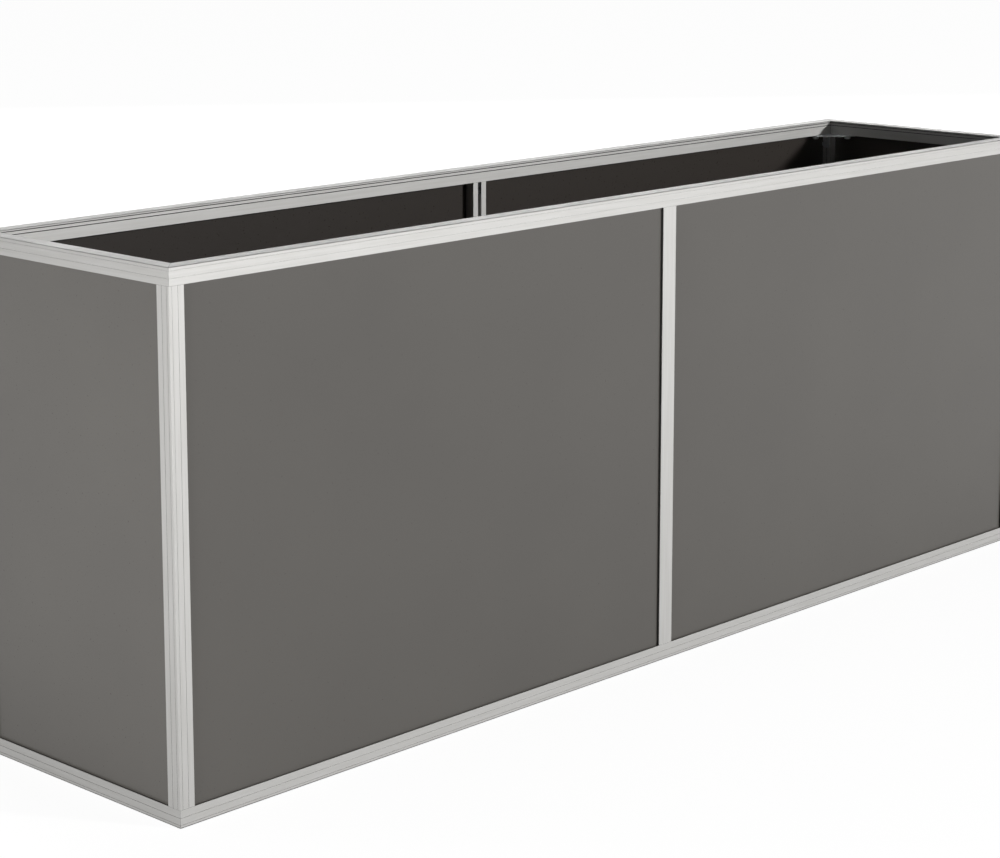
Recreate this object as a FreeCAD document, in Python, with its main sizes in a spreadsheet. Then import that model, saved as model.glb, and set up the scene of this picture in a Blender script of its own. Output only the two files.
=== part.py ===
import FreeCAD, Part
import os
import re
import Sketcher

# Raised garden bed: an aluminium frame of extruded rails and posts, with flat panels held in its grooves.
# Millimetres. X runs along the bed, -Y is the front, +Z is up, and the origin is mid-footprint.

SIZES = [
    ("bed_length", 2000, "outside, left to right"),
    ("bed_width", 440, "outside, front to back"),
    ("bed_height", 760, "ground to the top of the rim"),
    ("frame_depth", 25, "rails and posts, outer face to inner face"),
    ("rail_height", 25, "top and bottom rails, seen from the side"),
    ("mid_post_width", 30, "posts in the middle of the long sides"),
    ("wall_thick", 2, "walls round the hollows of the extrusions"),
    ("edge_break", 1, "bevel on the outer edges of the extrusions"),
    ("lip_thick", 1.2, "outer lip of the panel groove"),
    ("seal_thick", 2.8, "seal between the outer lip and the panel"),
    ("panel_thick", 4, "infill panel"),
    ("groove_depth", 12, "panel groove"),
    ("panel_bite", 10, "how far a panel reaches into its groove"),
    ("seal_set_back", 0.6, "seal behind the mouth of the groove"),
    ("line_edge", 4, "first line along a rail's outer face, from the bevelled edge's corner"),
    ("line_pitch", 10, "from one line to the next"),
    ("line_width", 1.5, "line along a rail's outer face"),
    ("line_depth", 0.5, "line along a rail's outer face"),
    ("post_line_edge", 4.4, "first line along a corner post's outer face, from the post's corner"),
    ("post_line_pitch", 10, "from one line to the next"),
    ("post_line_width", 0.8, "line along a corner post's outer face"),
    ("post_line_depth", 0.3, "line along a corner post's outer face"),
    ("slit_edge", 2.6, "first slit along a rail's inner face, from the bevelled edge's corner"),
    ("slit_pitch", 5.2, "from one slit to the next"),
    ("slit_width", 1.4, "slit along a rail's inner face"),
    ("slit_depth", 4, "slit along a rail's inner face"),
    ("channel_set_in", 8.5, "middle of a rail's screw channel, from the inner face"),
    ("slot_lip", 2, "lips of the screw channels"),
    ("bolt_dia", 6, "bracket bolt and mid post anchor"),
    ("bolt_clear", 0.3, "room round a bolt in its hole or slot"),
    ("bolt_head_flats", 10, "bolt head across flats"),
    ("bolt_head_height", 4, "bolt head"),
    ("bolt_end", 1, "bolt past its nut"),
    ("nut_side", 10, "square nut and anchor head"),
    ("nut_thick", 5, "square nut"),
    ("nut_clear", 0.5, "room beside a square nut"),
    ("washer_dia", 12, "bracket washer"),
    ("washer_thick", 1.6, "all washers"),
    ("bracket_thick", 2.5, "bracket plate and tab"),
    ("bracket_leg", 74, "bracket along a rail, from the outer corner"),
    ("bracket_nose", 26, "end of a bracket's leg, from the outer face"),
    ("bracket_clear", 0.5, "bracket beside the post"),
    ("bracket_panel_gap", 1.5, "bracket behind the panels"),
    ("bolt_reach", 60, "rail bolt from the outer corner"),
    ("tab_length", 28, "bracket tab along the post"),
    ("tab_end", 11, "width of the tab's free end"),
    ("tab_bolt_drop", 20, "post bolt from the rail"),
    ("mid_room_width", 14, "inside the mid post's slot"),
    ("mid_room_depth", 10.5, "inside the mid post's slot"),
    ("slide_clear", 0.2, "room round what slides in the mid post"),
    ("thread_clear", 0.05, "screw in its threaded hole"),
    ("anchor_head_length", 18, "anchor head along the rail"),
    ("anchor_head_thick", 4, "anchor head"),
    ("anchor_reach", 22, "anchor into the post"),
    ("block_height", 18, "anchor block"),
    ("block_set_in", 2, "anchor block from the post's end"),
    ("grub_dia", 5, "grub screw"),
    ("grub_recess", 0.5, "grub screw behind the post's inner face"),
    ("socket_flats", 2.5, "hexagon socket of the grub screw"),
    ("socket_depth", 2.5, "hexagon socket of the grub screw"),
    ("tie_height", 300, "cross tie above the ground"),
    ("tie_dia", 8, "cross tie"),
    ("tie_washer_dia", 16, "washer on the cross tie"),
    ("tie_nut_flats", 13, "lock nut on the cross tie"),
    ("tie_nut_height", 6.5, "lock nut on the cross tie"),
    ("slot_nut_length", 20, "slot nut along the post"),
    ("slot_nut_thick", 6, "slot nut"),
]
NAMES = {name for name, _, _ in SIZES}

doc = FreeCAD.newDocument("raised_bed")
sheet = doc.addObject("Spreadsheet::Sheet", "Sizes")
for row, (name, size, meaning) in enumerate(SIZES, start=1):
    sheet.set(f"A{row}", meaning)
    sheet.set(f"B{row}", str(size))
    sheet.setAlias(f"B{row}", name)
doc.recompute()

# Sizes that several pieces share, as formulas of the sheet's names
GROOVE_END = "(lip_thick + seal_thick + panel_thick)"
CHANNEL = "(frame_depth - channel_set_in)"
BOLT_SLOT = "(bolt_dia + 2 * bolt_clear)"
NUT_ROOM = "(nut_side + 2 * nut_clear)"
NUT_ROOM_DEPTH = "(nut_thick + bolt_end)"
MID_SLOT = "(tie_dia + 2 * slide_clear)"
POST_LENGTH = "(bed_height - 2 * rail_height)"
PANEL_HEIGHT = "(bed_height - 2 * rail_height + 2 * panel_bite)"
BOLT_LENGTH = "(washer_thick + bracket_thick + slot_lip + nut_thick + bolt_end)"

UP = FreeCAD.Vector(0, 0, 1)
TURNED_OVER = FreeCAD.Rotation(FreeCAD.Vector(0, 1, 0), 180)
SWAPPED_OVER = FreeCAD.Rotation(FreeCAD.Vector(1, 1, 0), 180)
ALONG_Y = FreeCAD.Rotation(FreeCAD.Vector(1, 0, 0), -90)
AGAINST_X = FreeCAD.Rotation(FreeCAD.Vector(0, 1, 0), -90)
AGAINST_Y = FreeCAD.Rotation(FreeCAD.Vector(1, 0, 0), 90)
nodes = []


def cells(formula):
    """The formula with each size's name as a reference to its cell."""
    return re.sub(r"[a-z_]+", lambda word: f"Sizes.{word[0]}" if word[0] in NAMES else word[0], formula)


def number(formula):
    """The formula's value in millimetres, from the sheet."""
    return float(sheet.evalExpression(formula))


def bind(thing, formulas):
    """Ties properties to the sheet, and returns the thing."""
    for prop, formula in formulas.items():
        thing.setExpression(prop, cells(formula))
    return thing


def side_place(side, along, inward):
    """X and Y of a point given along a side, from its middle, and inward from its outer face."""
    return {
        "front": (along, f"{inward} - bed_width / 2"),
        "right": (f"bed_length / 2 - {inward}", along),
        "back": (f"-({along})", f"bed_width / 2 - {inward}"),
        "left": (f"{inward} - bed_length / 2", f"-({along})"),
    }[side]


SIDE_TURN = {"front": 0, "right": 90, "back": 180, "left": 270}
SIDE_RUN = {"front": "bed_length", "right": "bed_width", "back": "bed_length", "left": "bed_width"}
CORNERS = {"front_left": "front", "front_right": "right", "back_right": "back", "back_left": "left"}


def corner_place(corner):
    """X, Y and turn of a corner of the bed, from the side that starts there."""
    side = CORNERS[corner]
    return *side_place(side, f"-{SIDE_RUN[side]} / 2", "0"), FreeCAD.Rotation(UP, SIDE_TURN[side])


def put(piece, place_x, place_y, place_z, turn):
    """Turns a piece and ties its place to the sheet."""
    piece.Placement = FreeCAD.Placement(FreeCAD.Vector(), turn)
    base = {"Placement.Base.x": place_x, "Placement.Base.y": place_y, "Placement.Base.z": place_z}
    return bind(piece, base)


def new_sketch(body, name, role):
    """Empty sketch on one of the body's own origin planes."""
    sketch = body.newObject("Sketcher::SketchObject", name)
    plane = next(feature for feature in body.Origin.OriginFeatures if feature.Role == role)
    sketch.AttachmentSupport = [(plane, "")]
    sketch.MapMode = "FlatFace"
    return sketch


def hold(sketch, line, point, x, y):
    """Holds a point of a sketch's line at two formulas, measured from the sketch's origin."""
    # A sketch counts its X axis as line -1, whose first point is the origin, and its Y axis as line -2
    for kind, axis, formula in (("DistanceX", -2, x), ("DistanceY", -1, y)):
        if formula == "0":
            sketch.addConstraint(Sketcher.Constraint("PointOnObject", line, point, axis))
        else:
            limit = Sketcher.Constraint(kind, -1, 1, line, point, number(formula))
            bind(sketch, {f"Constraints[{sketch.addConstraint(limit)}]": formula})


def add_outline(sketch, corners):
    """Closed outline of straight lines, with every corner held by formulas for its two coordinates."""
    points = [FreeCAD.Vector(number(x), number(y), 0) for x, y in corners]
    first = sketch.GeometryCount
    sketch.addGeometry([Part.LineSegment(a, b) for a, b in zip(points, points[1:] + points[:1])])
    count = len(corners)
    sketch.addConstraint([
        Sketcher.Constraint("Coincident", first + (index - 1) % count, 2, first + index, 1)
        for index in range(count)
    ])
    for index, (x, y) in enumerate(corners):
        hold(sketch, first + index, 1, x, y)


def rectangle(low_x, low_y, high_x, high_y):
    """The four corners of a rectangle."""
    return [(low_x, low_y), (high_x, low_y), (high_x, high_y), (low_x, high_y)]


def pad(body, sketch, length, reverse=False):
    """Extrudes a sketch by a length from the sheet."""
    feature = body.newObject("PartDesign::Pad", sketch.Name + "_pad")
    feature.Profile = sketch
    feature.Reversed = reverse
    return bind(feature, {"Length": length})


def cut_through(body, sketch, reverse=False):
    """Cuts a sketch right through the body, and checks that it took something away."""
    doc.recompute()
    before = body.Shape.Volume
    feature = body.newObject("PartDesign::Pocket", sketch.Name + "_cut")
    feature.Profile = sketch
    feature.Type = "ThroughAll"
    feature.Reversed = reverse
    doc.recompute()
    if not body.Shape.Volume < before:
        raise ValueError(f"{sketch.Name} cuts nothing")


def new_body(label):
    """Body that becomes one node."""
    body = doc.addObject("PartDesign::Body", label)
    nodes.append(body)
    return body


# Rails: one extrusion for the top and the bottom rims. Its section runs inward from the outer face, and up
# from the side that holds the panel to the exposed edge. The panel groove is near the outer face, the screw
# channel near the inner one, with a hollow behind both. Two shallow lines run along the outer face, and two
# deep slits along the inner one.

def cut_lines(kind, starts):
    """Corners in and out of each line or slit of a face: depth, and place along the face."""
    corners = []
    for low in starts:
        high = f"{low} + {kind}_width"
        corners += [("0", low), (f"{kind}_depth", low), (f"{kind}_depth", high), ("0", high)]
    return corners


def rail_side(kind):
    """Corners of one side face of the rail, from the panel's side up to the bevelled edge."""
    first = f"(rail_height - {kind}_edge - {kind}_width)"
    lines = cut_lines(kind, [f"({first} - {kind}_pitch)", first])
    return [("0", "0"), *lines, ("0", "rail_height - edge_break"), ("edge_break", "rail_height")]


def rail_outline():
    """Corners of the rail's section, from the outer lip round the exposed edge to the two grooves."""
    outer = rail_side("line")
    inner = [
        ("frame_depth" if x == "0" else f"frame_depth - {x}", y)
        for x, y in reversed(rail_side("slit"))
    ]
    channel = [
        (f"{CHANNEL} + {BOLT_SLOT} / 2", "0"),
        (f"{CHANNEL} + {BOLT_SLOT} / 2", "slot_lip"),
        (f"{CHANNEL} + {NUT_ROOM} / 2", "slot_lip"),
        (f"{CHANNEL} + {NUT_ROOM} / 2", "groove_depth"),
        (f"{CHANNEL} - {NUT_ROOM} / 2", "groove_depth"),
        (f"{CHANNEL} - {NUT_ROOM} / 2", "slot_lip"),
        (f"{CHANNEL} - {BOLT_SLOT} / 2", "slot_lip"),
        (f"{CHANNEL} - {BOLT_SLOT} / 2", "0"),
    ]
    groove = [
        (GROOVE_END, "0"),
        (GROOVE_END, "groove_depth"),
        ("lip_thick", "groove_depth"),
        ("lip_thick", "0"),
    ]
    return outer + inner + channel + groove


RAIL_HOLLOW = rectangle(
    "wall_thick", "groove_depth + wall_thick",
    "frame_depth - slit_depth - wall_thick", "rail_height - wall_thick",
)


def make_rail(label, run):
    """Rail of the given run, mitred at both ends towards its inner face."""
    body = new_body(label)
    section = new_sketch(body, label + "_section", "YZ_Plane")
    add_outline(section, rail_outline())
    add_outline(section, RAIL_HOLLOW)
    pad(body, section, run)
    mitres = new_sketch(body, label + "_mitres", "XY_Plane")
    add_outline(mitres, [("0", "0"), ("frame_depth", "frame_depth"), ("0", "frame_depth")])
    add_outline(mitres, [(run, "0"), (run, "frame_depth"), (f"{run} - frame_depth", "frame_depth")])
    cut_through(body, mitres, reverse=True)
    return body


for side, angle in SIDE_TURN.items():
    run = SIDE_RUN[side]
    around = FreeCAD.Rotation(UP, angle)
    top_rail = make_rail(f"top_rail_{side}", run)
    put(top_rail, *side_place(side, f"-{run} / 2", "0"), "bed_height - rail_height", around)
    bottom_rail = make_rail(f"bottom_rail_{side}", run)
    put(bottom_rail, *side_place(side, f"{run} / 2", "0"), "rail_height", around * TURNED_OVER)


# Corner posts: square extrusions with a panel groove towards each neighbour, a hollow core, two faint
# lines along each outer face, and a screw channel on the face that looks along the bed. The section starts
# at the bed's outer corner.

def corner_post_outline():
    """Corners of the post's section, round its outer corner, with the channel on the face along X."""
    inside = f"(frame_depth - slot_lip - {NUT_ROOM_DEPTH})"
    starts = ["post_line_edge", "(post_line_edge + post_line_pitch)"]
    lines = [(along, depth) for depth, along in cut_lines("post_line", starts)]
    along_bed = [
        ("edge_break", "0"),
        *lines,
        ("frame_depth", "0"),
        ("frame_depth", "lip_thick"),
        ("frame_depth - groove_depth", "lip_thick"),
        ("frame_depth - groove_depth", GROOVE_END),
        ("frame_depth", GROOVE_END),
    ]
    channel = [
        ("frame_depth", f"{CHANNEL} - {BOLT_SLOT} / 2"),
        ("frame_depth - slot_lip", f"{CHANNEL} - {BOLT_SLOT} / 2"),
        ("frame_depth - slot_lip", f"{CHANNEL} - {NUT_ROOM} / 2"),
        (inside, f"{CHANNEL} - {NUT_ROOM} / 2"),
        (inside, f"{CHANNEL} + {NUT_ROOM} / 2"),
        ("frame_depth - slot_lip", f"{CHANNEL} + {NUT_ROOM} / 2"),
        ("frame_depth - slot_lip", f"{CHANNEL} + {BOLT_SLOT} / 2"),
        ("frame_depth", f"{CHANNEL} + {BOLT_SLOT} / 2"),
    ]
    across_bed = [(y, x) for x, y in reversed(along_bed)]
    return along_bed + channel + [("frame_depth", "frame_depth")] + across_bed


def faces_along_bed(turn):
    """Whether a piece's own X axis lies along the bed once it is turned."""
    return abs(turn.multVec(FreeCAD.Vector(1, 0, 0)).x) > 0.5


def facing(corners, turn):
    """Outline with X and Y exchanged where the piece's own Y axis lies along the bed."""
    return corners if faces_along_bed(turn) else [(y, x) for x, y in corners]


POST_CORE_END = "frame_depth - groove_depth - wall_thick"
POST_CORE = rectangle("wall_thick", "wall_thick", POST_CORE_END, POST_CORE_END)

for corner in CORNERS:
    corner_x, corner_y, around = corner_place(corner)
    post = new_body(f"corner_post_{corner}")
    section = new_sketch(post, f"{post.Label}_section", "XY_Plane")
    add_outline(section, facing(corner_post_outline(), around))
    add_outline(section, POST_CORE)
    pad(post, section, POST_LENGTH)
    put(post, corner_x, corner_y, "rail_height", around)


# Mid posts: a panel groove in each flank, and on the inner face a slot with a wide room behind its lips.

def mid_post_outline():
    """Corners of the mid post's section, from its left flank, inward from the outer face."""
    width, middle = "mid_post_width", "mid_post_width / 2"
    lips = "(frame_depth - slot_lip)"
    slot = [
        (f"{middle} + {MID_SLOT} / 2", "frame_depth"),
        (f"{middle} + {MID_SLOT} / 2", lips),
        (f"{middle} + mid_room_width / 2", lips),
        (f"{middle} + mid_room_width / 2", f"{lips} - mid_room_depth"),
        (f"{middle} - mid_room_width / 2", f"{lips} - mid_room_depth"),
        (f"{middle} - mid_room_width / 2", lips),
        (f"{middle} - {MID_SLOT} / 2", lips),
        (f"{middle} - {MID_SLOT} / 2", "frame_depth"),
    ]
    right = [
        (width, "0"),
        (width, "lip_thick"),
        (f"{width} - groove_depth", "lip_thick"),
        (f"{width} - groove_depth", GROOVE_END),
        (width, GROOVE_END),
        (width, "frame_depth"),
    ]
    left = [
        ("0", "frame_depth"),
        ("0", GROOVE_END),
        ("groove_depth", GROOVE_END),
        ("groove_depth", "lip_thick"),
        ("0", "lip_thick"),
        ("0", "0"),
    ]
    return right + slot + left


for side in ("front", "back"):
    post = new_body(f"mid_post_{side}")
    section = new_sketch(post, f"{post.Label}_section", "XY_Plane")
    add_outline(section, mid_post_outline())
    pad(post, section, POST_LENGTH)
    turn = FreeCAD.Rotation(UP, SIDE_TURN[side])
    put(post, *side_place(side, "-mid_post_width / 2", "0"), "rail_height", turn)


# Panels and their seals: each panel stands against the inner wall of its grooves, and a black seal round
# its edge fills the groove in front of it. A panel starts at its left end, seen from outside the bed.
LONG_PANEL = "((bed_length - mid_post_width) / 2 - frame_depth + 2 * panel_bite)"
END_PANEL = "(bed_width - 2 * frame_depth + 2 * panel_bite)"
LONG_START = "frame_depth - panel_bite - bed_length / 2"
MID_START = "mid_post_width / 2 - panel_bite"
PANELS = {
    "front_left": ("front", LONG_START, LONG_PANEL),
    "front_right": ("front", MID_START, LONG_PANEL),
    "right": ("right", f"-{END_PANEL} / 2", END_PANEL),
    "back_right": ("back", LONG_START, LONG_PANEL),
    "back_left": ("back", MID_START, LONG_PANEL),
    "left": ("left", f"-{END_PANEL} / 2", END_PANEL),
}
SEAL_WIDTH = "(panel_bite - seal_set_back)"

for name, (side, start, run) in PANELS.items():
    turn = FreeCAD.Rotation(UP, SIDE_TURN[side])
    panel = doc.addObject("Part::Box", f"panel_{name}")
    bind(panel, {"Length": run, "Width": "panel_thick", "Height": PANEL_HEIGHT})
    put(panel, *side_place(side, start, "(lip_thick + seal_thick)"), "rail_height - panel_bite", turn)
    nodes.append(panel)
    seal = new_body(f"panel_seal_{name}")
    ring = new_sketch(seal, f"{seal.Label}_ring", "XZ_Plane")
    far_side, top_side = f"{run} - {SEAL_WIDTH}", f"{PANEL_HEIGHT} - {SEAL_WIDTH}"
    add_outline(ring, rectangle("0", "0", run, PANEL_HEIGHT))
    add_outline(ring, rectangle(SEAL_WIDTH, SEAL_WIDTH, far_side, top_side))
    pad(seal, ring, "seal_thick", reverse=True)
    put(seal, *side_place(side, start, "lip_thick"), "rail_height - panel_bite", turn)


# Corner brackets: a plate against both rails, clear of the panels and the post, with a tapered tab bent
# along the post's channel. A bracket starts at the bed's outer corner, where rails and posts meet.
BRACKET_EDGE = f"({GROOVE_END} + bracket_panel_gap)"
PLATE = [
    ("frame_depth", BRACKET_EDGE),
    ("bracket_leg", BRACKET_EDGE),
    ("bracket_leg", "bracket_nose"),
    ("bracket_nose", "bracket_leg"),
    (BRACKET_EDGE, "bracket_leg"),
    (BRACKET_EDGE, "frame_depth + bracket_clear"),
    ("frame_depth", "frame_depth + bracket_clear"),
]
TAB = [
    (BRACKET_EDGE, "0"),
    (f"{CHANNEL} - tab_end / 2", "-tab_length"),
    (f"{CHANNEL} + tab_end / 2", "-tab_length"),
    ("frame_depth", "0"),
]


def add_hole(sketch, place_x, place_y):
    """Bolt hole at a place given by two formulas."""
    centre = FreeCAD.Vector(number(place_x), number(place_y), 0)
    circle = sketch.addGeometry(Part.Circle(centre, UP, number(BOLT_SLOT) / 2))
    width = sketch.addConstraint(Sketcher.Constraint("Diameter", circle, number(BOLT_SLOT)))
    bind(sketch, {f"Constraints[{width}]": BOLT_SLOT})
    hold(sketch, circle, 3, place_x, place_y)


def on_post_face(body, name, along_bed):
    """Sketch on the plane of the post's channel face."""
    sketch = new_sketch(body, name, "YZ_Plane" if along_bed else "XZ_Plane")
    return bind(sketch, {"AttachmentOffset.Base.z": "frame_depth" if along_bed else "-frame_depth"})


def make_bracket(label, turn):
    """Bracket for the corner that the turn brings it to, with its plate below the plane of the rails."""
    body = new_body(label)
    plate = new_sketch(body, label + "_plate", "XY_Plane")
    add_outline(plate, facing(PLATE, turn))
    pad(body, plate, "bracket_thick", reverse=True)
    along_bed = faces_along_bed(turn)
    tab = on_post_face(body, label + "_tab", along_bed)
    add_outline(tab, TAB)
    pad(body, tab, "bracket_thick", reverse=not along_bed)
    rail_holes = new_sketch(body, label + "_rail_holes", "XY_Plane")
    add_hole(rail_holes, "bolt_reach", CHANNEL)
    add_hole(rail_holes, CHANNEL, "bolt_reach")
    cut_through(body, rail_holes)
    tab_hole = on_post_face(body, label + "_tab_hole", along_bed)
    add_hole(tab_hole, CHANNEL, "-tab_bolt_drop")
    cut_through(body, tab_hole, reverse=along_bed)
    return body


for corner in CORNERS:
    corner_x, corner_y, upright = corner_place(corner)
    top_bracket = make_bracket(f"top_bracket_{corner}", upright)
    put(top_bracket, corner_x, corner_y, "bed_height - rail_height", upright)
    over = upright * SWAPPED_OVER
    put(make_bracket(f"bottom_bracket_{corner}", over), corner_x, corner_y, "rail_height", over)


# Fasteners: one of each kind is modelled, and a group holds its copies as separate solids.

def solid(kind, name, formulas, place=("0", "0", "0"), turn=FreeCAD.Rotation()):
    """Primitive with its sizes and place tied to the sheet."""
    return put(bind(doc.addObject(kind, name), formulas), *place, turn)


def cylinder(name, diameter, height, place=("0", "0", "0"), turn=FreeCAD.Rotation()):
    """Round bar or hole."""
    return solid("Part::Cylinder", name, {"Radius": f"{diameter} / 2", "Height": height}, place, turn)


def hexagon(name, flats, height, place=("0", "0", "0"), turn=FreeCAD.Rotation()):
    """Six-sided bar or socket, measured across its flats."""
    return solid("Part::Prism", name, {"Circumradius": f"{flats} / sqrt(3)", "Height": height}, place, turn)


def block(name, size_x, size_y, size_z, place):
    """Rectangular block from its lowest corner."""
    return solid("Part::Box", name, {"Length": size_x, "Width": size_y, "Height": size_z}, place)


def join(kind, name, base, tool):
    """Part::Fuse or Part::Cut of two solids."""
    result = doc.addObject(kind, name)
    result.Base = base
    result.Tool = tool
    return result


def group(label, form, places):
    """Node that holds a copy of the form at each place."""
    doc.recompute()
    copies = []
    for place in places:
        copy = form.Shape.copy()
        copy.Placement = place * copy.Placement
        copies.append(copy)
    node = doc.addObject("Part::Feature", label)
    node.Shape = Part.makeCompound(copies)
    nodes.append(node)


def corner_frames():
    """Place of every bracket, top corners first."""
    for height, over in (("bed_height - rail_height", FreeCAD.Rotation()), ("rail_height", SWAPPED_OVER)):
        for corner in CORNERS:
            corner_x, corner_y, upright = corner_place(corner)
            base = FreeCAD.Vector(number(corner_x), number(corner_y), number(height))
            yield FreeCAD.Placement(base, upright * over)


def bolt_places():
    """Where the bolt heads' undersides lie: two below each bracket's plate and one on its tab."""
    below = -number("bracket_thick + washer_thick")
    reach, channel, drop = number("bolt_reach"), number(CHANNEL), -number("tab_bolt_drop")
    face = number("frame_depth + bracket_thick + washer_thick")
    for frame in corner_frames():
        yield frame * FreeCAD.Placement(FreeCAD.Vector(reach, channel, below), FreeCAD.Rotation())
        yield frame * FreeCAD.Placement(FreeCAD.Vector(channel, reach, below), FreeCAD.Rotation())
        if faces_along_bed(frame.Rotation):
            yield frame * FreeCAD.Placement(FreeCAD.Vector(face, channel, drop), AGAINST_X)
        else:
            yield frame * FreeCAD.Placement(FreeCAD.Vector(channel, face, drop), AGAINST_Y)


head = hexagon("bolt_head", "bolt_head_flats", "bolt_head_height", ("0", "0", "-bolt_head_height"))
bolt = join("Part::Fuse", "bolt_form", head, cylinder("bolt_shank", "bolt_dia", BOLT_LENGTH))
group("bracket_bolts", bolt, bolt_places())

washer_disc = cylinder("washer_disc", "washer_dia", "washer_thick")
washer = join("Part::Cut", "washer_form", washer_disc, cylinder("washer_hole", BOLT_SLOT, "washer_thick"))
group("bracket_washers", washer, bolt_places())

NUT_SEAT = "washer_thick + bracket_thick + slot_lip"
nut_place = ("-nut_side / 2", "-nut_side / 2", NUT_SEAT)
nut_block = block("nut_block", "nut_side", "nut_side", "nut_thick", nut_place)
nut_hole = cylinder("nut_hole", "(bolt_dia + 2 * thread_clear)", "nut_thick", ("0", "0", NUT_SEAT))
group("bracket_nuts", join("Part::Cut", "nut_form", nut_block, nut_hole), bolt_places())


# Mid post anchors: a T-head in the rail's screw channel, whose shank reaches into a block inside the post's
# slot, where a grub screw holds it. The forms start at the post's end, in the middle of the outer face.

def anchor_places():
    """Both ends of both mid posts."""
    for height, over in (("bed_height - rail_height", FreeCAD.Rotation()), ("rail_height", TURNED_OVER)):
        for side in ("front", "back"):
            place_x, place_y = side_place(side, "0", "0")
            base = FreeCAD.Vector(number(place_x), number(place_y), number(height))
            yield FreeCAD.Placement(base, FreeCAD.Rotation(UP, SIDE_TURN[side]) * over)


LIPS_INSIDE = "(frame_depth - slot_lip)"
SLIDER_WIDTH = "(mid_room_width - 2 * slide_clear)"
BLOCK_DEPTH = "(mid_room_depth - slide_clear)"
GRUB_START = f"({CHANNEL} + bolt_dia / 2)"
GRUB_LENGTH = f"(frame_depth - grub_recess - {GRUB_START})"
GRUB_LEVEL = "-block_set_in - block_height / 2"

anchor_head_place = ("-anchor_head_length / 2", f"{CHANNEL} - nut_side / 2", "slot_lip")
anchor_head = block("anchor_head", "anchor_head_length", "nut_side", "anchor_head_thick", anchor_head_place)
shank_length = "anchor_reach + slot_lip + anchor_head_thick"
anchor_shank = cylinder("anchor_shank", "bolt_dia", shank_length, ("0", CHANNEL, "-anchor_reach"))
group("mid_post_anchors", join("Part::Fuse", "anchor_form", anchor_head, anchor_shank), anchor_places())

block_place = (f"-{SLIDER_WIDTH} / 2", f"{LIPS_INSIDE} - {BLOCK_DEPTH}", "-block_set_in - block_height")
anchor_block = block("anchor_block", SLIDER_WIDTH, BLOCK_DEPTH, "block_height", block_place)
shank_hole_size = "(bolt_dia + 2 * thread_clear)"
shank_hole = cylinder("shank_hole", shank_hole_size, "block_height", ("0", CHANNEL, block_place[2]))
grub_hole_size = "(grub_dia + 2 * thread_clear)"
grub_place = ("0", GRUB_START, GRUB_LEVEL)
grub_hole = cylinder("grub_hole", grub_hole_size, GRUB_LENGTH, grub_place, ALONG_Y)
drilled_block = join("Part::Cut", "drilled_block", anchor_block, shank_hole)
group("mid_post_anchor_blocks", join("Part::Cut", "block_form", drilled_block, grub_hole), anchor_places())

grub_bar = cylinder("grub_bar", "grub_dia", GRUB_LENGTH, grub_place, ALONG_Y)
socket_place = ("0", "frame_depth - grub_recess - socket_depth", GRUB_LEVEL)
socket = hexagon("grub_socket", "socket_flats", "socket_depth", socket_place, ALONG_Y)
group("mid_post_grub_screws", join("Part::Cut", "grub_form", grub_bar, socket), anchor_places())


# Cross tie: a threaded rod between the mid posts, which keeps the long sides from being pushed apart. Each
# end is screwed into a slot nut behind the post's lips, and a washer and a lock nut clamp it from inside.
TIE_END = f"({LIPS_INSIDE} - slot_nut_thick)"


def tie_places():
    """Both ends of the tie, in the middle of the posts' outer faces."""
    for side in ("front", "back"):
        place_x, place_y = side_place(side, "0", "0")
        base = FreeCAD.Vector(number(place_x), number(place_y), number("tie_height"))
        yield FreeCAD.Placement(base, FreeCAD.Rotation(UP, SIDE_TURN[side]))


tie_start = (*side_place("front", "0", TIE_END), "tie_height")
nodes.append(cylinder("cross_tie", "tie_dia", f"bed_width - 2 * {TIE_END}", tie_start, ALONG_Y))

tie_hole_size = "(tie_dia + 2 * thread_clear)"
slot_nut_place = (f"-{SLIDER_WIDTH} / 2", TIE_END, "-slot_nut_length / 2")
slot_nut_block = block("slot_nut_block", SLIDER_WIDTH, "slot_nut_thick", "slot_nut_length", slot_nut_place)
slot_nut_hole = cylinder("slot_nut_hole", tie_hole_size, "slot_nut_thick", ("0", TIE_END, "0"), ALONG_Y)
group("tie_slot_nuts", join("Part::Cut", "slot_nut_form", slot_nut_block, slot_nut_hole), tie_places())

washer_place = ("0", "frame_depth", "0")
tie_disc = cylinder("tie_washer_disc", "tie_washer_dia", "washer_thick", washer_place, ALONG_Y)
tie_washer_hole = cylinder("tie_washer_hole", MID_SLOT, "washer_thick", washer_place, ALONG_Y)
group("tie_washers", join("Part::Cut", "tie_washer_form", tie_disc, tie_washer_hole), tie_places())

lock_nut_place = ("0", "frame_depth + washer_thick", "0")
lock_nut_bar = hexagon("lock_nut_bar", "tie_nut_flats", "tie_nut_height", lock_nut_place, ALONG_Y)
lock_nut_hole = cylinder("lock_nut_hole", tie_hole_size, "tie_nut_height", lock_nut_place, ALONG_Y)
group("tie_lock_nuts", join("Part::Cut", "lock_nut_form", lock_nut_bar, lock_nut_hole), tie_places())


# Every object has to be sound before any file is written
doc.recompute()
failed = [thing.Name for thing in doc.Objects if {"Invalid", "Error"} & set(thing.State)]
failed += [node.Label for node in nodes if node.Shape.isNull() or not node.Shape.isValid()]
if failed:
    raise RuntimeError(f"not sound: {failed}")
os.makedirs("parts", exist_ok=True)
for node in nodes:
    node.Shape.exportStep(f"parts/{node.Label}.step")
    print(node.Label, len(node.Shape.Solids), "solids", round(node.Shape.Volume), "mm3")
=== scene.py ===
import math

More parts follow.
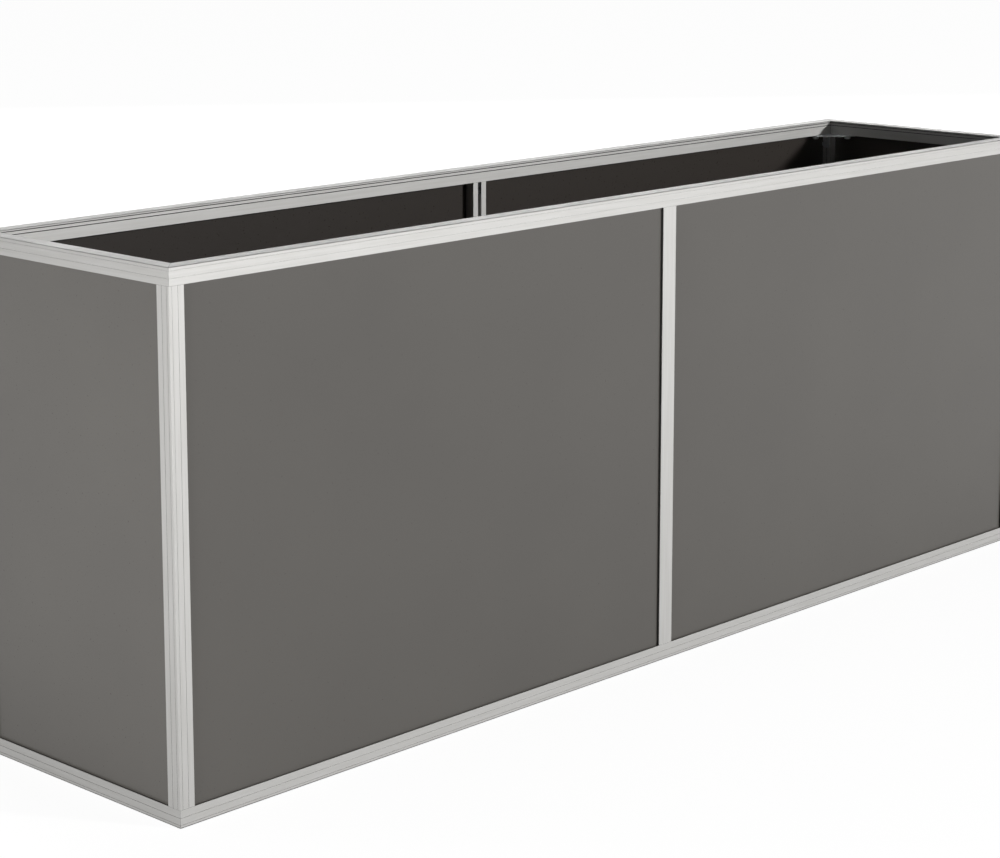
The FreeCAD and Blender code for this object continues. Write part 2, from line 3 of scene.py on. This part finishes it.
import bpy
import numpy as np
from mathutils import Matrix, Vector


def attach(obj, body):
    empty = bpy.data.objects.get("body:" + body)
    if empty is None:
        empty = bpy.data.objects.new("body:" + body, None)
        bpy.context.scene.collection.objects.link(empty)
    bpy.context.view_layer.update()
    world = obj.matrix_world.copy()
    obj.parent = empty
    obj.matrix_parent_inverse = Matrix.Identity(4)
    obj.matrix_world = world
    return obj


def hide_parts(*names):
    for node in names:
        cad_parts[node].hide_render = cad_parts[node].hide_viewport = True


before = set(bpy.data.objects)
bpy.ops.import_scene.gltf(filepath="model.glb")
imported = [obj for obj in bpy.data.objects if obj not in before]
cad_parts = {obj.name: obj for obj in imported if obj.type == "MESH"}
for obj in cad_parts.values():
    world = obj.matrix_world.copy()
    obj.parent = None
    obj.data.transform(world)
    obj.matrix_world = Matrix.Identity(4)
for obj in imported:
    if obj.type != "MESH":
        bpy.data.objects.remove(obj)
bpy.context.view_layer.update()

# Rails: the top and the bottom rim are one aluminium extrusion, sawn to mitres and left in mill finish.
# The die leaves fine lines along the run, with soft lighter and darker streaks between them, and a mitre
# shows as a hairline.
RIMS = ("top", "bottom")
BED_LENGTH, BED_WIDTH, BED_HEIGHT = 2.0, 0.44, 0.76
RAIL_HEIGHT = 0.025
DIE_LINE_WIDTH, DIE_LINE_LENGTH = 0.0015, 0.6
STREAK_WIDTH, STREAK_LENGTH = 0.004, 0.12
SMUDGE_WIDTH = 0.09
HAIRLINE = 0.00025
# The first reach sets which hollows get painted shade, and the second which edges are rubbed lighter
CREVICE_SHADE_REACH, RUB_REACH = 0.004, 0.0008
ALUMINIUM_DARK, ALUMINIUM_LIGHT = "c7c6c3", "cecdcb"
# The second colour is painted shade: the dark grey painted into slits and hollows
RUBBED_EDGE, CREVICE_SHADE = "dcdbd9", "383633"
ALUMINIUM_SMOOTH, ALUMINIUM_DULL = 0.47, 0.63


def linear(code):
    """Linear RGBA of an sRGB hex code: each value to the power 2.4 after the usual offset, or a straight
    line near black."""
    values = np.array([int(code[start:start + 2], 16) / 255 for start in (0, 2, 4)])
    curve = ((values + 0.055) / 1.055) ** 2.4
    return (*np.where(values <= 0.04045, values / 12.92, curve), 1.0)


def add(tree, kind, settings, inputs):
    """Adds a node with its settings, and sets or links its inputs by name or number."""
    node = tree.nodes.new(kind)
    for key, value in settings.items():
        setattr(node, key, value)
    for key, value in inputs.items():
        if isinstance(value, bpy.types.NodeSocket):
            tree.links.new(value, node.inputs[key])
        else:
            node.inputs[key].default_value = value
    return node


def empty_material(name):
    """New material without nodes, and its tree."""
    material = bpy.data.materials.new(name)
    material.use_nodes = True
    material.node_tree.nodes.clear()
    return material, material.node_tree


def mill_aluminium(name, run):
    """Mill finish aluminium, drawn along an axis: 0 is X, 1 is Y and 2 is Z. Grey white with a dull metal
    sheen, streaked lengthwise and smudged here and there by handling. Edges are rubbed lighter, slits and
    hollows are darkened with painted shade, and the hairline where it meets the next piece is drawn dark.
    Real die lines are about 0.1 mm apart; they are drawn 1.5 mm wide to show."""
    material, tree = empty_material(name)
    place = add(tree, "ShaderNodeTexCoord", {}, {}).outputs["Object"]
    grains = []
    for width, length, detail in (
        (DIE_LINE_WIDTH, DIE_LINE_LENGTH, 1.0),
        (STREAK_WIDTH, STREAK_LENGTH, 2.0),
    ):
        stretch = [1 / width] * 3
        stretch[run] = 1 / length
        drawn = add(tree, "ShaderNodeVectorMath", {"operation": "MULTIPLY"}, {0: place, 1: stretch})
        grain = add(tree, "ShaderNodeTexNoise", {}, {
            "Vector": drawn.outputs[0], "Scale": 1.0, "Detail": detail,
        })
        grains.append(grain.outputs[0])
    lines, streaks = grains
    blend = add(tree, "ShaderNodeMapRange", {}, {"Value": streaks, "From Min": 0.3, "From Max": 0.7})
    tint = add(tree, "ShaderNodeMix", {"data_type": "RGBA"}, {
        0: blend.outputs[0], 6: linear(ALUMINIUM_DARK), 7: linear(ALUMINIUM_LIGHT),
    })
    # A post ends at the rails. A mitre runs where a point is as far from one end as from one side.
    middle = (0, 0, BED_HEIGHT / 2)
    centred = add(tree, "ShaderNodeVectorMath", {"operation": "SUBTRACT"}, {0: place, 1: middle})
    far = add(tree, "ShaderNodeVectorMath", {"operation": "ABSOLUTE"}, {0: centred.outputs[0]})
    parts = add(tree, "ShaderNodeSeparateXYZ", {}, {0: far.outputs[0]}).outputs
    if run == 2:
        level, end = parts[2], BED_HEIGHT / 2 - RAIL_HEIGHT
    else:
        slant = add(tree, "ShaderNodeMath", {"operation": "SUBTRACT"}, {0: parts[0], 1: parts[1]})
        level, end = slant.outputs[0], (BED_LENGTH - BED_WIDTH) / 2
    seam = add(tree, "ShaderNodeMath", {"operation": "COMPARE"}, {0: level, 1: end, 2: HAIRLINE})
    inside = add(tree, "ShaderNodeAmbientOcclusion", {"samples": 6, "inside": True}, {
        "Distance": RUB_REACH,
    })
    rub = add(tree, "ShaderNodeMapRange", {}, {
        "Value": inside.outputs["AO"], "From Min": 0.5, "From Max": 0.9, "To Min": 0.6, "To Max": 0.0,
    })
    rubbed = add(tree, "ShaderNodeMix", {"data_type": "RGBA"}, {
        0: rub.outputs[0], 6: tint.outputs[2], 7: linear(RUBBED_EDGE),
    })
    # Painted shade: where other surfaces lie within 4 mm, as in slits and hollows, the colour is darkened
    # towards dark grey.
    shelter = add(tree, "ShaderNodeAmbientOcclusion", {"samples": 6}, {"Distance": CREVICE_SHADE_REACH})
    crevice_shading = add(tree, "ShaderNodeMapRange", {}, {
        "Value": shelter.outputs["AO"], "From Min": 0.3, "From Max": 0.6, "To Min": 1.0, "To Max": 0.0,
    })
    dark = add(tree, "ShaderNodeMath", {"operation": "MAXIMUM"}, {
        0: crevice_shading.outputs[0], 1: seam.outputs[0],
    })
    skin = add(tree, "ShaderNodeMix", {"data_type": "RGBA"}, {
        0: dark.outputs[0], 6: rubbed.outputs[2], 7: linear(CREVICE_SHADE),
    })
    smudge = add(tree, "ShaderNodeTexNoise", {}, {
        "Vector": place, "Scale": 1 / SMUDGE_WIDTH, "Detail": 3.0,
    })
    worn = add(tree, "ShaderNodeMath", {"operation": "ADD"}, {0: lines, 1: smudge.outputs[0]})
    dull = add(tree, "ShaderNodeMapRange", {}, {
        "Value": worn.outputs[0], "From Min": 0.4, "From Max": 1.6,
        "To Min": ALUMINIUM_SMOOTH, "To Max": ALUMINIUM_DULL,
    })
    relief = add(tree, "ShaderNodeBump", {}, {"Strength": 0.25, "Distance": 0.00005, "Height": lines})
    metal = add(tree, "ShaderNodeBsdfPrincipled", {}, {
        "Base Color": skin.outputs[2],
        "Metallic": 0.8,
        "Roughness": dull.outputs[0],
        "Normal": relief.outputs[0],
    })
    add(tree, "ShaderNodeOutputMaterial", {}, {"Surface": metal.outputs[0]})
    return material


def dress(material, names):
    """Gives CAD nodes a material."""
    for name in names:
        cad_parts[name].material_slots[0].material = material


for name, run, sides in (
    ("mill_aluminium_along_bed", 0, ("front", "back")),
    ("mill_aluminium_across_bed", 1, ("left", "right")),
):
    dress(mill_aluminium(name, run), [f"{rim}_rail_{side}" for rim in RIMS for side in sides])

# Posts: four square corner posts and two mid posts, of the same mill finish aluminium as the rails.
# They are drawn upright, cut square, and stand between the rims with a hairline at each end.
CORNERS = ("front_left", "front_right", "back_right", "back_left")
corner_posts = [f"corner_post_{corner}" for corner in CORNERS]
dress(mill_aluminium("mill_aluminium_upright", 2), [*corner_posts, "mid_post_front", "mid_post_back"])

# Panels: flat composite sheet with a satin grey coat outside, and painted dark grey inside as painted
# shade.
# Both faces show a faint orange peel from rolling and hardly any change of tone.
PANELS = ("front_left", "front_right", "right", "back_right", "back_left", "left")
# The sheet's middle lies this far behind the frame's outer face
PANEL_MIDDLE = 0.006
CLOUD_WIDTH, PEEL_WIDTH = 0.25, 0.003
# The third colour is painted shade for the sheet's inner face
COAT_DARK, COAT_LIGHT, INSIDE_PAINTED_SHADE = "65625e", "6d6a65", "3c3733"


def coated_sheet():
    """Roller coated sheet: satin grey where a point is nearer to the outside than the sheet's middle, and
    painted dark grey inside as painted shade. The peel's waves are 3 mm wide, and soft clouds 250 mm wide
    change the tone a little."""
    material, tree = empty_material("coated_sheet")
    place = add(tree, "ShaderNodeTexCoord", {}, {}).outputs["Object"]
    parts = add(tree, "ShaderNodeSeparateXYZ", {}, {0: place}).outputs
    past = [
        add(tree, "ShaderNodeMath", {"operation": "GREATER_THAN"}, {
            0: add(tree, "ShaderNodeMath", {"operation": "ABSOLUTE"}, {0: part}).outputs[0],
            1: size / 2 - PANEL_MIDDLE,
        }).outputs[0]
        for part, size in ((parts[0], BED_LENGTH), (parts[1], BED_WIDTH))
    ]
    outside = add(tree, "ShaderNodeMath", {"operation": "MAXIMUM"}, {0: past[0], 1: past[1]}).outputs[0]
    cloud = add(tree, "ShaderNodeTexNoise", {}, {
        "Vector": place, "Scale": 1 / CLOUD_WIDTH, "Detail": 3.0,
    }).outputs[0]
    peel = add(tree, "ShaderNodeTexNoise", {}, {
        "Vector": place, "Scale": 1 / PEEL_WIDTH, "Detail": 1.0,
    }).outputs[0]
    grey = add(tree, "ShaderNodeMix", {"data_type": "RGBA"}, {
        0: cloud, 6: linear(COAT_DARK), 7: linear(COAT_LIGHT),
    })
    # Painted shade: the inner face is given a dark grey in place of the coat's grey.
    coat_and_inner_shade = add(tree, "ShaderNodeMix", {"data_type": "RGBA"}, {
        0: outside, 6: linear(INSIDE_PAINTED_SHADE), 7: grey.outputs[2],
    })
    satin = add(tree, "ShaderNodeMapRange", {}, {"Value": peel, "To Min": 0.25, "To Max": 0.34})
    relief = add(tree, "ShaderNodeBump", {}, {"Strength": 0.15, "Distance": 0.00002, "Height": peel})
    paint = add(tree, "ShaderNodeBsdfPrincipled", {}, {
        "Base Color": coat_and_inner_shade.outputs[2],
        "Roughness": satin.outputs[0],
        "Normal": relief.outputs[0],
    })
    add(tree, "ShaderNodeOutputMaterial", {}, {"Surface": paint.outputs[0]})
    return material


dress(coated_sheet(), [f"panel_{panel}" for panel in PANELS])

# Panel seals: black rubber strip, pressed into the groove in front of each panel.
# Extruded rubber is matt, with a bloom of slightly lighter patches.
BLOOM_WIDTH = 0.008
RUBBER_BLACK, RUBBER_BLOOM = "121212", "1e1e1d"


def black_rubber():
    """Matt black rubber with a faint grey bloom in patches about 8 mm wide."""
    material, tree = empty_material("black_rubber")
    place = add(tree, "ShaderNodeTexCoord", {}, {}).outputs["Object"]
    bloom = add(tree, "ShaderNodeTexNoise", {}, {"Vector": place, "Scale": 1 / BLOOM_WIDTH, "Detail": 2.0})
    tint = add(tree, "ShaderNodeMix", {"data_type": "RGBA"}, {
        0: bloom.outputs[0], 6: linear(RUBBER_BLACK), 7: linear(RUBBER_BLOOM),
    })
    rubber = add(tree, "ShaderNodeBsdfPrincipled", {}, {"Base Color": tint.outputs[2], "Roughness": 0.7})
    add(tree, "ShaderNodeOutputMaterial", {}, {"Surface": rubber.outputs[0]})
    return material


dress(black_rubber(), [f"panel_seal_{panel}" for panel in PANELS])

# Hidden fixings: the anchors, blocks and grub screws in the mid posts' slots, which hold the posts to the
# rails. They are small turned and sawn pieces of steel, blackened and oiled.
PATCH_WIDTH = 0.005
BLACKENED_DARK, BLACKENED_LIGHT = "1d1d1e", "2a2a2b"


def blackened_steel():
    """Blackened steel: near black with a faint oily sheen, uneven in patches about 5 mm wide."""
    material, tree = empty_material("blackened_steel")
    place = add(tree, "ShaderNodeTexCoord", {}, {}).outputs["Object"]
    patches = add(tree, "ShaderNodeTexNoise", {}, {
        "Vector": place, "Scale": 1 / PATCH_WIDTH, "Detail": 2.0,
    }).outputs[0]
    tint = add(tree, "ShaderNodeMix", {"data_type": "RGBA"}, {
        0: patches, 6: linear(BLACKENED_DARK), 7: linear(BLACKENED_LIGHT),
    })
    oiled = add(tree, "ShaderNodeMapRange", {}, {"Value": patches, "To Min": 0.4, "To Max": 0.6})
    metal = add(tree, "ShaderNodeBsdfPrincipled", {}, {
        "Base Color": tint.outputs[2],
        "Metallic": 0.6,
        "Roughness": oiled.outputs[0],
    })
    add(tree, "ShaderNodeOutputMaterial", {}, {"Surface": metal.outputs[0]})
    return material


dress(blackened_steel(), ["mid_post_anchors", "mid_post_anchor_blocks", "mid_post_grub_screws"])

# Corner brackets: pressed steel plates under the rims, each with a tab bent along its post, zinc plated.
# The washers and the nuts in the channels have the same plating.
ZINC_GRAIN_WIDTH = 0.002
ZINC_DARK, ZINC_LIGHT = "c4c6c8", "d6d8da"


def zinc_plate():
    """Zinc plated steel: pale bluish metal with a soft sheen, mottled in grains about 2 mm wide."""
    material, tree = empty_material("zinc_plate")
    place = add(tree, "ShaderNodeTexCoord", {}, {}).outputs["Object"]
    grains = add(tree, "ShaderNodeTexVoronoi", {}, {"Vector": place, "Scale": 1 / ZINC_GRAIN_WIDTH})
    tone = add(tree, "ShaderNodeSeparateXYZ", {}, {0: grains.outputs["Color"]}).outputs[0]
    tint = add(tree, "ShaderNodeMix", {"data_type": "RGBA"}, {
        0: tone, 6: linear(ZINC_DARK), 7: linear(ZINC_LIGHT),
    })
    dull = add(tree, "ShaderNodeMapRange", {}, {"Value": tone, "To Min": 0.38, "To Max": 0.5})
    metal = add(tree, "ShaderNodeBsdfPrincipled", {}, {
        "Base Color": tint.outputs[2],
        "Metallic": 0.9,
        "Roughness": dull.outputs[0],
    })
    add(tree, "ShaderNodeOutputMaterial", {}, {"Surface": metal.outputs[0]})
    return material


plating = zinc_plate()
dress(plating, [f"{rim}_bracket_{corner}" for rim in RIMS for corner in CORNERS])
dress(plating, ["bracket_washers", "bracket_nuts", "tie_slot_nuts", "tie_washers"])

# Bracket bolts: 24 hexagon bolts of zinc plated steel. Two go through each bracket into the rails'
# channels and one through its tab into the post. The heads are forged, with a chamfer turned on their tops.
BOLT_FLATS, BOLT_HEAD, BOLT_RADIUS, BOLT_LENGTH = 0.010, 0.004, 0.003, 0.0121
# Along a rail from the corner, in from the frame's outer face, and down the post from the rail
BOLT_REACH, BOLT_CHANNEL, BOLT_DROP = 0.060, 0.0165, 0.020
# A bracket and a washer together, from the rail or the post to the head's seat
BRACKET_FACE = 0.0041
POST_FACE = RAIL_HEIGHT + BRACKET_FACE
TURN_STEPS = 48


def turned_hexagon(rows, flats):
    """Points of a hexagon bar with turned ends, row by row round its axis. Each row has a radius and a
    height. The distance from the axis is the lesser of that radius and the hexagon's own reach, which is
    half the flats over the cosine of the angle from the middle of a flat."""
    angle = np.linspace(0, 2 * np.pi, TURN_STEPS, endpoint=False)
    reach = flats / 2 / np.cos(angle % (np.pi / 3) - np.pi / 6)
    radius, height = np.array(rows).T
    away = np.minimum(radius[:, None], reach)
    tall = np.broadcast_to(height[:, None], away.shape)
    return np.stack([away * np.cos(angle), away * np.sin(angle), tall], axis=-1)


def turned_piece(name, points, turns, places, closed):
    """Piece that holds a copy of a turned form at each place. The form's points are rows round an axis. Its
    rows join up end to start where closed, and otherwise the first and the last row are capped."""
    rows, steps = points.shape[:2]
    row = np.arange(rows if closed else rows - 1)[:, None]
    step = np.arange(steps)
    this, after, beside = row * steps, (row + 1) % rows * steps, (step + 1) % steps
    quads = np.stack([this + step, this + beside, after + beside, after + step], axis=-1)
    starts = np.arange(len(places))[:, None, None] * rows * steps
    faces = (quads.reshape(1, -1, 4) + starts).reshape(-1, 4).tolist()
    if not closed:
        caps = np.stack([step[::-1], (rows - 1) * steps + step])
        faces += (caps + starts).reshape(-1, steps).tolist()
    forms = np.einsum("kij,nj->kni", np.array(turns), points.reshape(-1, 3))
    forms = forms + np.array(places)[:, None]
    mesh = bpy.data.meshes.new(name)
    mesh.from_pydata(forms.reshape(-1, 3).tolist(), [], faces)
    mesh.materials.append(plating)
    piece = bpy.data.objects.new(name, mesh)
    bpy.context.collection.objects.link(piece)
    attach(piece, "root")
    return piece


# A turn points a form's axis up, down with X and Y swapped, against X or against Y
UPRIGHT = np.eye(3)
SWAPPED_OVER = np.array([(0, 1, 0), (1, 0, 0), (0, 0, -1)])
AGAINST_X = np.array([(0, 0, -1), (0, 1, 0), (1, 0, 0)])
AGAINST_Y = np.array([(1, 0, 0), (0, 0, -1), (0, 1, 0)])
# Each corner's side along X and Y, with the cosine and sine of its quarter turn
QUARTERS = ((-1, -1, 1, 0), (1, -1, 0, 1), (1, 1, -1, 0), (-1, 1, 0, -1))
bolt_turns, bolt_places = [], []
for rail_face, over in ((BED_HEIGHT - RAIL_HEIGHT, UPRIGHT), (RAIL_HEIGHT, SWAPPED_OVER)):
    for side_x, side_y, cos, sin in QUARTERS:
        corner = np.array([side_x * BED_LENGTH / 2, side_y * BED_WIDTH / 2, rail_face])
        corner_turn = np.array([(cos, -sin, 0), (sin, cos, 0), (0, 0, 1)]) @ over
        along_bed = corner_turn[0, 0] != 0
        spots = [
            (UPRIGHT, (BOLT_REACH, BOLT_CHANNEL, -BRACKET_FACE)),
            (UPRIGHT, (BOLT_CHANNEL, BOLT_REACH, -BRACKET_FACE)),
            (AGAINST_X, (POST_FACE, BOLT_CHANNEL, -BOLT_DROP)) if along_bed
            else (AGAINST_Y, (BOLT_CHANNEL, POST_FACE, -BOLT_DROP)),
        ]
        bolt_turns += [corner_turn @ turn for turn, _ in spots]
        bolt_places += [corner + corner_turn @ np.array(spot) for _, spot in spots]

# Radius of each row, and its height above the head's seat
bolt_rows = [
    (0.0030, -BOLT_HEAD),
    (0.0047, -BOLT_HEAD),
    (0.0053, 0.00035 - BOLT_HEAD),
    (0.0060, 0.00075 - BOLT_HEAD),
    (0.0060, 0.0),
    (BOLT_RADIUS, 0.0),
    (BOLT_RADIUS, BOLT_LENGTH - 0.0006),
    (0.0024, BOLT_LENGTH),
]
bolt_form = turned_hexagon(bolt_rows, BOLT_FLATS)
bolts = turned_piece("hexagon_bolts", bolt_form, bolt_turns, bolt_places, False)
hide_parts("bracket_bolts")

# Cross tie: a zinc plated threaded rod between the mid posts, which keeps the long sides from being pushed
# apart. Its thread is rolled along the whole length, and its ends are sawn.
TIE_RADIUS, TIE_PITCH, TIE_THREAD = 0.004, 0.00125, 0.0007
TIE_LENGTH, TIE_HEIGHT = 0.406, 0.3
TIE_STEPS, TIE_ROWS_PER_PITCH = 24, 4
TIE_ENDS = 2
ALONG_Y = np.array([(1, 0, 0), (0, 0, 1), (0, -1, 0)])


def threaded_rod():
    """Points of a rod, row by row along its axis. The distance from the axis falls by a rounded groove: a
    cosine of the height in pitches less the angle in turns, so that it winds on by a pitch each turn."""
    angle = np.linspace(0, 2 * np.pi, TIE_STEPS, endpoint=False)
    rows = round(TIE_ROWS_PER_PITCH * TIE_LENGTH / TIE_PITCH) + 1
    height = np.linspace(0, TIE_LENGTH, rows)[:, None]
    groove = 0.5 - 0.5 * np.cos(2 * np.pi * height / TIE_PITCH - angle)
    away = TIE_RADIUS - TIE_THREAD * groove
    tall = np.broadcast_to(height, away.shape)
    return np.stack([away * np.cos(angle), away * np.sin(angle), tall], axis=-1)


tie_start = (0, -TIE_LENGTH / 2, TIE_HEIGHT)
tie = turned_piece("threaded_tie", threaded_rod(), [ALONG_Y], [tie_start], False)
# The thread is shaded round, and the ends, which are the last faces, stay flat
tie_faces = len(tie.data.polygons)
tie.data.polygons.foreach_set("use_smooth", np.arange(tie_faces) < tie_faces - TIE_ENDS)
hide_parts("cross_tie")

# Lock nuts: one at each end of the cross tie, screwed up against a washer on the mid post's inner face.
# Zinc plated hexagon nuts with both edges chamfered and a round collar on the free end.
NUT_FLATS, NUT_HEIGHT, NUT_BORE = 0.013, 0.0065, 0.00405
# The washer's face lies this far behind the frame's outer face
NUT_SEAT = 0.0266
AGAINST_TIE = np.array([(-1, 0, 0), (0, 0, -1), (0, -1, 0)])
# Radius of each row, and its height above the washer: up the outside, then down the bore
nut_rows = [
    (0.0048, 0.0),
    (0.0064, 0.0),
    (0.0076, 0.0007),
    (0.0076, 0.0042),
    (0.0064, 0.0049),
    (0.0059, 0.0050),
    (0.0059, 0.0060),
    (0.0054, NUT_HEIGHT),
    (0.0046, NUT_HEIGHT),
    (NUT_BORE, 0.0060),
    (NUT_BORE, 0.0007),
]
nut_form = turned_hexagon(nut_rows, NUT_FLATS)
nut_places = [(0, NUT_SEAT - BED_WIDTH / 2, TIE_HEIGHT), (0, BED_WIDTH / 2 - NUT_SEAT, TIE_HEIGHT)]
nuts = turned_piece("tie_nuts", nut_form, [ALONG_Y, AGAINST_TIE], nut_places, True)
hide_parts("tie_lock_nuts")

# Studio floor: one wide sheet of white paper, flat under the bed and curved up a long way off.
# The camera and reflections see it as white with a trace of the bed's shadow, and painted shade darkens its
# glow close to the bed, faintly for the camera and more in reflections. Inside the bed it is plain matt
# paper, and it throws the lamps' light back up.
FLOOR_REACH, FLOOR_FLAT, FLOOR_RISE = 60.0, 14.0, 5.0
FLOOR_STEPS = 61
FLOOR_GLOW = 0.97
# How far the painted shade spreads from the bed, and its depth there for the camera and in reflections
SHADE_REACH, SHADE_SEEN, SHADE_MIRRORED = 0.7, 0.04, 0.4
PAPER_WHITE, PAPER_MATT, PAPER_TRACE = "ffffff", "e6e6e6", "6a6a6a"


def paper_sweep():
    """Square grid of points whose height grows with the square of the distance past the flat middle, up to
    the reach."""
    run = np.linspace(-FLOOR_REACH, FLOOR_REACH, FLOOR_STEPS)
    x, y = np.meshgrid(run, run)
    past = np.clip((np.hypot(x, y) - FLOOR_FLAT) / (FLOOR_REACH - FLOOR_FLAT), 0.0, 1.0)
    points = np.stack([x, y, FLOOR_RISE * past ** 2], axis=-1).reshape(-1, 3)
    step = np.arange(FLOOR_STEPS - 1)
    first = (step[:, None] * FLOOR_STEPS + step).reshape(-1, 1)
    faces = first + np.array([0, 1, FLOOR_STEPS + 1, FLOOR_STEPS])
    mesh = bpy.data.meshes.new("floor")
    mesh.from_pydata(points.tolist(), [], faces.tolist())
    return mesh


def white_paper():
    """White paper that glows for the camera and for reflections, so that they see it white. The glow falls
    off towards the bed with the exponential of the distance from its outline, as painted shade. Elsewhere
    it is matt."""
    material, tree = empty_material("white_paper")
    ray = add(tree, "ShaderNodeLightPath", {}, {}).outputs
    bounced = add(tree, "ShaderNodeMath", {"operation": "MAXIMUM"}, {
        0: ray["Is Glossy Ray"], 1: ray["Is Transmission Ray"],
    })
    seen = add(tree, "ShaderNodeMath", {"operation": "MAXIMUM"}, {
        0: ray["Is Camera Ray"], 1: bounced.outputs[0],
    })
    place = add(tree, "ShaderNodeTexCoord", {}, {}).outputs["Object"]
    parts = add(tree, "ShaderNodeSeparateXYZ", {}, {0: place}).outputs
    away = [
        add(tree, "ShaderNodeMath", {"operation": "SUBTRACT"}, {
            0: add(tree, "ShaderNodeMath", {"operation": "ABSOLUTE"}, {0: part}).outputs[0],
            1: size / 2,
        }).outputs[0]
        for part, size in ((parts[0], BED_LENGTH), (parts[1], BED_WIDTH))
    ]
    gap = add(tree, "ShaderNodeMath", {"operation": "MAXIMUM"}, {0: away[0], 1: away[1]}).outputs[0]
    around = add(tree, "ShaderNodeMath", {"operation": "GREATER_THAN"}, {0: gap, 1: 0.0})
    shown = add(tree, "ShaderNodeMath", {"operation": "MULTIPLY"}, {
        0: seen.outputs[0], 1: around.outputs[0],
    })
    steps = add(tree, "ShaderNodeMath", {"operation": "MULTIPLY"}, {0: gap, 1: -1 / SHADE_REACH})
    near = add(tree, "ShaderNodeMath", {"operation": "EXPONENT"}, {0: steps.outputs[0]})
    lost = add(tree, "ShaderNodeMapRange", {}, {
        "Value": ray["Is Camera Ray"],
        "To Min": -SHADE_MIRRORED * FLOOR_GLOW,
        "To Max": -SHADE_SEEN * FLOOR_GLOW,
    })
    strength = add(tree, "ShaderNodeMath", {"operation": "MULTIPLY_ADD"}, {
        0: near.outputs[0], 1: lost.outputs[0], 2: FLOOR_GLOW,
    })
    glow = add(tree, "ShaderNodeEmission", {}, {
        "Color": linear(PAPER_WHITE), "Strength": strength.outputs[0],
    })
    trace = add(tree, "ShaderNodeBsdfDiffuse", {}, {"Color": linear(PAPER_TRACE)})
    white = add(tree, "ShaderNodeAddShader", {}, {0: glow.outputs[0], 1: trace.outputs[0]})
    matt = add(tree, "ShaderNodeBsdfDiffuse", {}, {"Color": linear(PAPER_MATT)})
    surface = add(tree, "ShaderNodeMixShader", {}, {
        0: shown.outputs[0], 1: matt.outputs[0], 2: white.outputs[0],
    })
    add(tree, "ShaderNodeOutputMaterial", {}, {"Surface": surface.outputs[0]})
    return material


floor_mesh = paper_sweep()
floor_mesh.materials.append(white_paper())
floor = bpy.data.objects.new("floor", floor_mesh)
bpy.context.collection.objects.link(floor)

# Studio light: a dim surround and five soft lamps. The key stands far off in front on the right, and the
# rim and back lamps light the top faces from behind. The left lamp stands low, so that it only reaches the
# left end, and the fill has a narrow beam for the brackets in the far corner.
SURROUND_LEVEL = 0.015
world = bpy.data.worlds.new("surround")
bpy.context.scene.world = world
world.use_nodes = True
world.node_tree.nodes.clear()
surround = add(world.node_tree, "ShaderNodeBackground", {}, {
    "Color": linear("ffffff"), "Strength": SURROUND_LEVEL,
})
add(world.node_tree, "ShaderNodeOutputWorld", {}, {"Surface": surround.outputs[0]})


def area_lamp(name, place, target, width, height, watts, spread=180):
    """Rectangular soft lamp at a place, turned towards a target, with its beam's spread in degrees."""
    lamp = bpy.data.lights.new(name, "AREA")
    lamp.shape = "RECTANGLE"
    lamp.size, lamp.size_y, lamp.energy = width, height, watts
    lamp.spread = math.radians(spread)
    holder = bpy.data.objects.new(name, lamp)
    holder.location = place
    holder.rotation_euler = (Vector(target) - Vector(place)).to_track_quat("-Z", "Y").to_euler()
    bpy.context.collection.objects.link(holder)


area_lamp("key_lamp", (6.9, -13.5, 4.48), (0.0, 0.0, 0.4), 1.2, 1.2, 1450)
area_lamp("rim_lamp", (5.0, 6.4, 2.4), (0.0, 0.0, 0.7), 8.0, 2.0, 302)
area_lamp("back_lamp", (-4.6, 5.4, 6.2), (0.0, 0.0, 0.7), 4.0, 1.5, 50)
area_lamp("left_lamp", (-2.8, -0.4, 0.5), (-1.0, 0.0, 0.5), 0.8, 0.3, 20)
area_lamp("fill_lamp", (-2.25, -4.3, 1.65), (0.95, 0.18, 0.73), 0.6, 0.4, 0.35, 24)

# Camera: a long lens, a little above the rim, looking down at the front left corner.
# The lens is shifted down a little, so that the posts stand almost upright in the picture.
CAMERA_PLACE = Vector((-3.0665, -2.7907, 1.3103))
CAMERA_TURN, CAMERA_DIP = math.radians(43.78), math.radians(-9.807)
LENS_LENGTH, LENS_SHIFT = 92.95, -0.15

lens = bpy.data.cameras.new("camera")
lens.lens = LENS_LENGTH
lens.shift_y = LENS_SHIFT
camera = bpy.data.objects.new("camera", lens)
camera.location = CAMERA_PLACE
across = math.cos(CAMERA_DIP)
gaze = Vector((across * math.cos(CAMERA_TURN), across * math.sin(CAMERA_TURN), math.sin(CAMERA_DIP)))
camera.rotation_euler = gaze.to_track_quat("-Z", "Y").to_euler()
bpy.context.collection.objects.link(camera)
bpy.context.scene.camera = camera
bpy.context.scene.view_settings.view_transform = "Standard"
